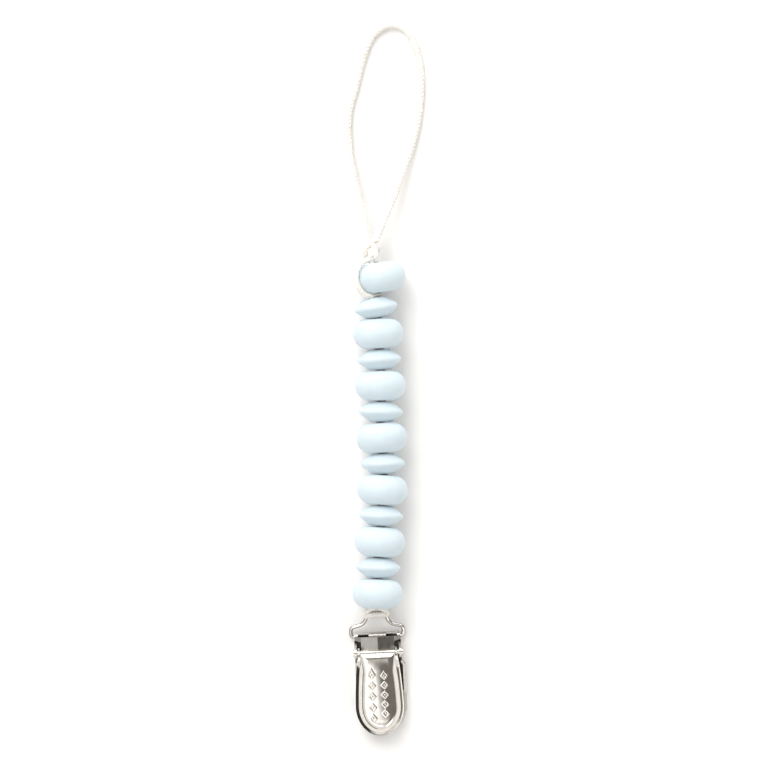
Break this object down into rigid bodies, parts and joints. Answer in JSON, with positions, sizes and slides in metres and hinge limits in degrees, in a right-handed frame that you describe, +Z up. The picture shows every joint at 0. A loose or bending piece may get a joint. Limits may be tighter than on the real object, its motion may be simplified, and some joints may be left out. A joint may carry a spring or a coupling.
{
  "type": "beaded soother clip",
  "caption": "String of silicone beads on a doubled cord, with a knotted cord loop at one end and a sprung metal garment clip at the other.",
  "frame": {"origin": "on the table, under the middle of the object without its cord loop", "axes": "+Y along the string from the clip towards the loop, +X to the right seen from above, +Z up from the table"},
  "size_m": [0.0222, 0.1973, 0.014],
  "materials": {
    "bead_silicone": "matte silicone",
    "cord": "twisted nylon",
    "nickel": "polished nickel plating",
    "pad_plastic": "moulded plastic"
  },
  "bodies": {
    "clip": {"clip_base": "nickel", "pivot_pin": "nickel", "back_pad": "pad_plastic"},
    "lever": {"lever": "nickel"},
    "front_jaw": {"front_jaw": "nickel", "front_pad": "pad_plastic"},
    "ring": {"wire_ring": "nickel", "cord_hitch": "cord"},
    "link_13": {"cord_core_13": "cord"},
    "bead_large_7": {"bead_large_7": "bead_silicone"},
    "link_12": {"cord_core_12": "cord"},
    "bead_small_6": {"bead_small_6": "bead_silicone"},
    "link_11": {"cord_core_11": "cord"},
    "bead_large_6": {"bead_large_6": "bead_silicone"},
    "link_10": {"cord_core_10": "cord"},
    "bead_small_5": {"bead_small_5": "bead_silicone"},
    "link_09": {"cord_core_09": "cord"},
    "bead_large_5": {"bead_large_5": "bead_silicone"},
    "link_08": {"cord_core_08": "cord"},
    "bead_small_4": {"bead_small_4": "bead_silicone"},
    "link_07": {"cord_core_07": "cord"},
    "bead_large_4": {"bead_large_4": "bead_silicone"},
    "link_06": {"cord_core_06": "cord"},
    "bead_small_3": {"bead_small_3": "bead_silicone"},
    "link_05": {"cord_core_05": "cord"},
    "bead_large_3": {"bead_large_3": "bead_silicone"},
    "link_04": {"cord_core_04": "cord"},
    "bead_small_2": {"bead_small_2": "bead_silicone"},
    "link_03": {"cord_core_03": "cord"},
    "bead_large_2": {"bead_large_2": "bead_silicone"},
    "link_02": {"cord_core_02": "cord"},
    "bead_small_1": {"bead_small_1": "bead_silicone"},
    "link_01": {"cord_core_01": "cord", "knot": "cord", "cord_side_strand": "cord", "cord_loop": "cord"},
    "bead_large_1": {"bead_large_1": "bead_silicone"}
  },
  "joints": [
    {"name": "clip_lever_hinge", "type": "hinge", "parent": "clip", "child": "lever", "pos_m": [0, -0.0451, 0.0046], "axis": [-0.999, -0.0454, 0], "range_deg": [0, 100]},
    {"name": "clip_jaw_open", "type": "hinge", "parent": "clip", "child": "front_jaw", "pos_m": [-0.0002, -0.04075, 0.00216], "axis": [-0.999, -0.0454, 0], "range_deg": [0, 8]},
    {"name": "clip_ring_swing", "type": "hinge", "parent": "clip", "child": "ring", "pos_m": [-0.0002, -0.04075, 0.00125], "axis": [-0.999, -0.0454, 0], "range_deg": [-60, 0]},
    {"name": "cord_bend_13", "type": "hinge", "parent": "ring", "child": "link_13", "pos_m": [-0.0002, -0.03298, 0.007], "axis": [0, 0, 1], "range_deg": [-5, 5]},
    {"name": "spin_of_bead_large_7", "type": "hinge", "parent": "link_13", "child": "bead_large_7", "pos_m": [-0.00008, -0.02875, 0.007], "axis": [0.0295, 0.9996, 0], "continuous": true},
    {"name": "cord_bend_12", "type": "hinge", "parent": "link_13", "child": "link_12", "pos_m": [0.00005, -0.02452, 0.007], "axis": [-1, 0, 0], "range_deg": [-6, 0]},
    {"name": "spin_of_bead_small_6", "type": "hinge", "parent": "link_12", "child": "bead_small_6", "pos_m": [0.00013, -0.0216, 0.007], "axis": [0.0257, 0.9997, 0], "continuous": true},
    {"name": "cord_bend_11", "type": "hinge", "parent": "link_12", "child": "link_11", "pos_m": [0.0002, -0.01868, 0.007], "axis": [0, 0, 1], "range_deg": [-3.5, 8]},
    {"name": "spin_of_bead_large_6", "type": "hinge", "parent": "link_11", "child": "bead_large_6", "pos_m": [0.00047, -0.01446, 0.007], "axis": [0.0649, 0.9979, 0], "continuous": true},
    {"name": "cord_bend_10", "type": "hinge", "parent": "link_11", "child": "link_10", "pos_m": [0.00075, -0.01022, 0.007], "axis": [-1, 0, 0], "range_deg": [-6, 0]},
    {"name": "spin_of_bead_small_5", "type": "hinge", "parent": "link_10", "child": "bead_small_5", "pos_m": [0.00087, -0.0073, 0.007], "axis": [0.0428, 0.9991, 0], "continuous": true},
    {"name": "cord_bend_09", "type": "hinge", "parent": "link_10", "child": "link_09", "pos_m": [0.001, -0.00438, 0.007], "axis": [0, 0, 1], "range_deg": [-5.5, 6.5]},
    {"name": "spin_of_bead_large_5", "type": "hinge", "parent": "link_09", "child": "bead_large_5", "pos_m": [0.00122, -0.00016, 0.007], "axis": [0.0531, 0.9986, 0], "continuous": true},
    {"name": "cord_bend_08", "type": "hinge", "parent": "link_09", "child": "link_08", "pos_m": [0.00145, 0.00408, 0.007], "axis": [-1, 0, 0], "range_deg": [-4, 0]},
    {"name": "spin_of_bead_small_4", "type": "hinge", "parent": "link_08", "child": "bead_small_4", "pos_m": [0.00137, 0.007, 0.007], "axis": [-0.0257, 0.9997, 0], "continuous": true},
    {"name": "cord_bend_07", "type": "hinge", "parent": "link_08", "child": "link_07", "pos_m": [0.0013, 0.00992, 0.007], "axis": [0, 0, 1], "range_deg": [-8, 3.5]},
    {"name": "spin_of_bead_large_4", "type": "hinge", "parent": "link_07", "child": "bead_large_4", "pos_m": [0.00103, 0.01414, 0.007], "axis": [-0.0649, 0.9979, 0], "continuous": true},
    {"name": "cord_bend_06", "type": "hinge", "parent": "link_07", "child": "link_06", "pos_m": [0.00075, 0.01838, 0.007], "axis": [-1, 0, 0], "range_deg": [-4, 0]},
    {"name": "spin_of_bead_small_3", "type": "hinge", "parent": "link_06", "child": "bead_small_3", "pos_m": [0.0008, 0.0213, 0.007], "axis": [0.0171, 0.9999, 0], "continuous": true},
    {"name": "cord_bend_05", "type": "hinge", "parent": "link_06", "child": "link_05", "pos_m": [0.00085, 0.02422, 0.007], "axis": [0, 0, 1], "range_deg": [-8.5, 3.5]},
    {"name": "spin_of_bead_large_3", "type": "hinge", "parent": "link_05", "child": "bead_large_3", "pos_m": [0.00073, 0.02845, 0.007], "axis": [-0.0295, 0.9996, 0], "continuous": true},
    {"name": "cord_bend_04", "type": "hinge", "parent": "link_05", "child": "link_04", "pos_m": [0.0006, 0.03268, 0.007], "axis": [-1, 0, 0], "range_deg": [-5.5, 0]},
    {"name": "spin_of_bead_small_2", "type": "hinge", "parent": "link_04", "child": "bead_small_2", "pos_m": [0.00043, 0.03559, 0.007], "axis": [-0.0598, 0.9982, 0], "continuous": true},
    {"name": "cord_bend_03", "type": "hinge", "parent": "link_04", "child": "link_03", "pos_m": [0.00025, 0.03852, 0.007], "axis": [0, 0, 1], "range_deg": [-5, 6.5]},
    {"name": "spin_of_bead_large_2", "type": "hinge", "parent": "link_03", "child": "bead_large_2", "pos_m": [0.00005, 0.04275, 0.007], "axis": [-0.0472, 0.9989, 0], "continuous": true},
    {"name": "cord_bend_02", "type": "hinge", "parent": "link_03", "child": "link_02", "pos_m": [-0.00015, 0.04698, 0.007], "axis": [-1, 0, 0], "range_deg": [-2.5, 0]},
    {"name": "spin_of_bead_small_1", "type": "hinge", "parent": "link_02", "child": "bead_small_1", "pos_m": [-0.00057, 0.04987, 0.007], "axis": [-0.1424, 0.9898, 0], "continuous": true},
    {"name": "cord_bend_01", "type": "hinge", "parent": "link_02", "child": "link_01", "pos_m": [-0.00093, 0.0524, 0.007], "axis": [0, 0, 1], "range_deg": [-4, 3]},
    {"name": "spin_of_bead_large_1", "type": "hinge", "parent": "link_01", "child": "bead_large_1", "pos_m": [0.00063, 0.0582, 0.007], "axis": [-0.1564, 0.9877, 0], "continuous": true}
  ],
  "couplings": [
    {"joint": "clip_jaw_open", "follows": "clip_lever_hinge", "ratio": 0.08}
  ]
}
